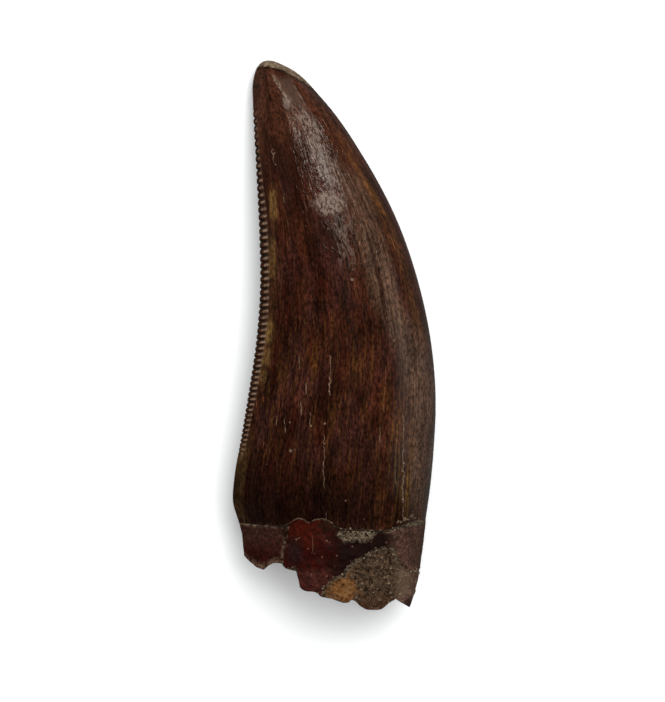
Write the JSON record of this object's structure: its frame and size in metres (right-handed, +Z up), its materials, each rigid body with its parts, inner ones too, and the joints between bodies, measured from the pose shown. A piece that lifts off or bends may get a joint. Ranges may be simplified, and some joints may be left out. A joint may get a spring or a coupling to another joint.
{
  "type": "fossil theropod tooth",
  "caption": "Fossil theropod tooth lying on its side: a curved, flattened crown with a serrated cutting edge, a short root stump and a rough break.",
  "frame": {"origin": "centre of the bounding box's bottom, on the surface that the tooth lies on", "axes": "+Y along the crown towards its tip, -X towards the serrated cutting edge, +Z up through the tooth's thickness"},
  "size_m": [0.0186, 0.0506, 0.0095],
  "materials": {
    "tooth": "glossy dark brown mineralised enamel with fine wrinkles, over a dull red-brown root stump with grey-brown rock in its break"
  },
  "bodies": {
    "root": {"tooth": "tooth"}
  },
  "joints": []
}
